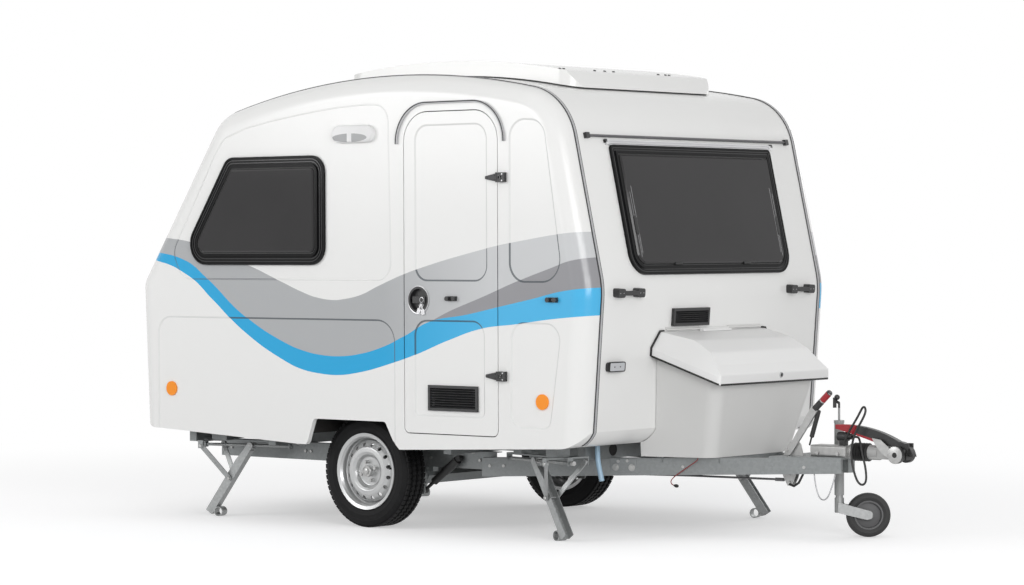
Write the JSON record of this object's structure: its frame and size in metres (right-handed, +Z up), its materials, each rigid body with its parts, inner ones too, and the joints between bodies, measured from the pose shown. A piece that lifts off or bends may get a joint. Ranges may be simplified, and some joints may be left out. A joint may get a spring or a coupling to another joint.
{
  "type": "travel caravan",
  "caption": "Small two-berth touring caravan with moulded shell, pop-up roof lid, side door, front locker, drawbar, jockey wheel and fold-down corner steadies.",
  "frame": {"origin": "on the ground under the middle of the overall length and width", "axes": "+X forward towards the coupling, +Y to the caravan's left, +Z up"},
  "size_m": [4.3177, 2.106, 2.3944],
  "materials": {
    "grp_white": "gel coat, grey and blue bands",
    "floor_board": "coated plywood sandwich",
    "frame_grey": "smooth grey",
    "acrylic": "tinted acrylic",
    "rubber_black": "matt",
    "plastic_black": "moulded",
    "plastic_white": "moulded",
    "canvas": "coated cloth",
    "galvanised": "hot-dip galvanised",
    "tyre": "road tread",
    "wheel_silver": "silver paint",
    "cast_silver": "zinc plated",
    "lens": "clear, red and amber lenses",
    "strip": "plastic cover strip",
    "aluminium": "anodised",
    "cable": "round sheath"
  },
  "bodies": {
    "caravan_body": {"side_shell_right": "grp_white", "side_shell_left": "grp_white", "centre_shell": "grp_white", "floor_panel": "floor_board", "window_frames": "frame_grey", "window_panes": "acrylic", "wall_fittings": "plastic_black", "roof_frame": "plastic_white", "roof_canvas": "canvas", "locker_tub": "frame_grey", "chassis_frame": "galvanised", "drawbar": "galvanised", "axle_tube": "galvanised", "trailing_arms": "galvanised", "shock_absorbers": "plastic_black", "overrun_unit": "cast_silver", "drawbar_boot": "rubber_black", "coupling_head": "cast_silver", "coupling_handle": "plastic_black", "brake_lever": "galvanised", "jockey_clamp": "cast_silver", "steady_frames": "galvanised", "trim_strips": "strip", "lamps": "lens", "front_vent": "plastic_white", "awning_rails": "aluminium", "grab_handles": "plastic_black", "plate_holder": "plastic_black", "tow_lead": "cable", "tow_plug": "plastic_black", "breakaway_cable": "cable", "drain_hose": "cable", "twin_lead": "cable"},
    "door": {"door_panel": "grp_white", "door_fittings": "plastic_black", "door_lock": "plastic_black", "door_vent": "plastic_white"},
    "locker_lid": {"locker_lid": "plastic_white"},
    "roof_lid": {"roof_lid": "grp_white"},
    "wheel_right": {"tyre_right": "tyre", "rim_right": "wheel_silver"},
    "wheel_left": {"tyre_left": "tyre", "rim_left": "wheel_silver"},
    "jockey_outer": {"jockey_outer": "galvanised"},
    "jockey_tube": {"jockey_tube": "galvanised"},
    "jockey_fork": {"jockey_fork": "galvanised"},
    "jockey_wheel": {"jockey_tyre": "rubber_black", "jockey_hub": "plastic_white"},
    "steady_strut_rear_right": {"steady_strut_rear_right": "galvanised"},
    "steady_leg_rear_right": {"steady_leg_rear_right": "galvanised"},
    "steady_nut_rear_right": {"steady_nut_rear_right": "galvanised"},
    "steady_strut_rear_left": {"steady_strut_rear_left": "galvanised"},
    "steady_leg_rear_left": {"steady_leg_rear_left": "galvanised"},
    "steady_nut_rear_left": {"steady_nut_rear_left": "galvanised"},
    "steady_strut_front_right": {"steady_strut_front_right": "galvanised"},
    "steady_leg_front_right": {"steady_leg_front_right": "galvanised"},
    "steady_nut_front_right": {"steady_nut_front_right": "galvanised"},
    "steady_strut_front_left": {"steady_strut_front_left": "galvanised"},
    "steady_leg_front_left": {"steady_leg_front_left": "galvanised"},
    "steady_nut_front_left": {"steady_nut_front_left": "galvanised"}
  },
  "joints": [
    {"name": "door_hinge", "type": "hinge", "parent": "caravan_body", "child": "door", "pos_m": [0.42, -1.041, 1.3], "axis": [0, 0, 1], "range_deg": [0, 170]},
    {"name": "locker_lid_hinge", "type": "hinge", "parent": "caravan_body", "child": "locker_lid", "pos_m": [0.971, 0, 1.031], "axis": [0, -1, 0], "range_deg": [0, 60]},
    {"name": "roof_lift", "type": "slide", "parent": "caravan_body", "child": "roof_lid", "axis": [0, 0, 1], "range_m": [0, 0.22], "deforming": ["roof_canvas"]},
    {"name": "wheel_spin_right", "type": "hinge", "parent": "caravan_body", "child": "wheel_right", "pos_m": [-0.61, -0.8, 0.29], "axis": [0, 1, 0], "continuous": true},
    {"name": "wheel_spin_left", "type": "hinge", "parent": "caravan_body", "child": "wheel_left", "pos_m": [-0.61, 0.8, 0.29], "axis": [0, 1, 0], "continuous": true},
    {"name": "jockey_clamp_slide", "type": "slide", "parent": "caravan_body", "child": "jockey_outer", "axis": [0, 0, 1], "range_m": [-0.08, 0.1]},
    {"name": "jockey_screw_slide", "type": "slide", "parent": "jockey_outer", "child": "jockey_tube", "axis": [0, 0, 1], "range_m": [-0.12, 0]},
    {"name": "jockey_swivel", "type": "hinge", "parent": "jockey_tube", "child": "jockey_fork", "pos_m": [1.613, 0.164, 0.15], "axis": [0, 0, 1], "continuous": true},
    {"name": "jockey_spin", "type": "hinge", "parent": "jockey_fork", "child": "jockey_wheel", "pos_m": [1.72302, 0.25534, 0.11], "axis": [-0.6388, 0.7694, 0], "continuous": true},
    {"name": "steady_fold_rear_right", "type": "hinge", "parent": "caravan_body", "child": "steady_strut_rear_right", "pos_m": [-1.753, -0.84, 0.385], "axis": [0.2588, -0.9659, 0], "range_deg": [0, 50]},
    {"name": "steady_knee_rear_right", "type": "hinge", "parent": "steady_strut_rear_right", "child": "steady_leg_rear_right", "pos_m": [-1.6371, -0.80895, 0.2075], "axis": [0.2588, -0.9659, 0], "range_deg": [-100, 0]},
    {"name": "steady_nut_rear_right", "type": "hinge", "parent": "steady_leg_rear_right", "child": "steady_nut_rear_right", "pos_m": [-1.5212, -0.77789, 0.385], "axis": [0.2588, -0.9659, 0], "range_deg": [0, 50]},
    {"name": "steady_fold_rear_left", "type": "hinge", "parent": "caravan_body", "child": "steady_strut_rear_left", "pos_m": [-1.753, 0.84, 0.385], "axis": [-0.2588, -0.9659, 0], "range_deg": [0, 50]},
    {"name": "steady_knee_rear_left", "type": "hinge", "parent": "steady_strut_rear_left", "child": "steady_leg_rear_left", "pos_m": [-1.6371, 0.80895, 0.2075], "axis": [-0.2588, -0.9659, 0], "range_deg": [-100, 0]},
    {"name": "steady_nut_rear_left", "type": "hinge", "parent": "steady_leg_rear_left", "child": "steady_nut_rear_left", "pos_m": [-1.5212, 0.77789, 0.385], "axis": [-0.2588, -0.9659, 0], "range_deg": [0, 50]},
    {"name": "steady_fold_front_right", "type": "hinge", "parent": "caravan_body", "child": "steady_strut_front_right", "pos_m": [0.684, -0.84, 0.385], "axis": [0.2588, 0.9659, 0], "range_deg": [0, 50]},
    {"name": "steady_knee_front_right", "type": "hinge", "parent": "steady_strut_front_right", "child": "steady_leg_front_right", "pos_m": [0.5681, -0.80895, 0.2075], "axis": [0.2588, 0.9659, 0], "range_deg": [-100, 0]},
    {"name": "steady_nut_front_right", "type": "hinge", "parent": "steady_leg_front_right", "child": "steady_nut_front_right", "pos_m": [0.4522, -0.77789, 0.385], "axis": [0.2588, 0.9659, 0], "range_deg": [0, 50]},
    {"name": "steady_fold_front_left", "type": "hinge", "parent": "caravan_body", "child": "steady_strut_front_left", "pos_m": [0.684, 0.84, 0.385], "axis": [-0.2588, 0.9659, 0], "range_deg": [0, 50]},
    {"name": "steady_knee_front_left", "type": "hinge", "parent": "steady_strut_front_left", "child": "steady_leg_front_left", "pos_m": [0.5681, 0.80895, 0.2075], "axis": [-0.2588, 0.9659, 0], "range_deg": [-100, 0]},
    {"name": "steady_nut_front_left", "type": "hinge", "parent": "steady_leg_front_left", "child": "steady_nut_front_left", "pos_m": [0.4522, 0.77789, 0.385], "axis": [-0.2588, 0.9659, 0], "range_deg": [0, 50]}
  ],
  "couplings": [
    {"joint": "steady_knee_rear_right", "follows": "steady_fold_rear_right", "ratio": -2},
    {"joint": "steady_nut_rear_right", "follows": "steady_fold_rear_right", "ratio": 1},
    {"joint": "steady_knee_rear_left", "follows": "steady_fold_rear_left", "ratio": -2},
    {"joint": "steady_nut_rear_left", "follows": "steady_fold_rear_left", "ratio": 1},
    {"joint": "steady_knee_front_right", "follows": "steady_fold_front_right", "ratio": -2},
    {"joint": "steady_nut_front_right", "follows": "steady_fold_front_right", "ratio": 1},
    {"joint": "steady_knee_front_left", "follows": "steady_fold_front_left", "ratio": -2},
    {"joint": "steady_nut_front_left", "follows": "steady_fold_front_left", "ratio": 1}
  ]
}
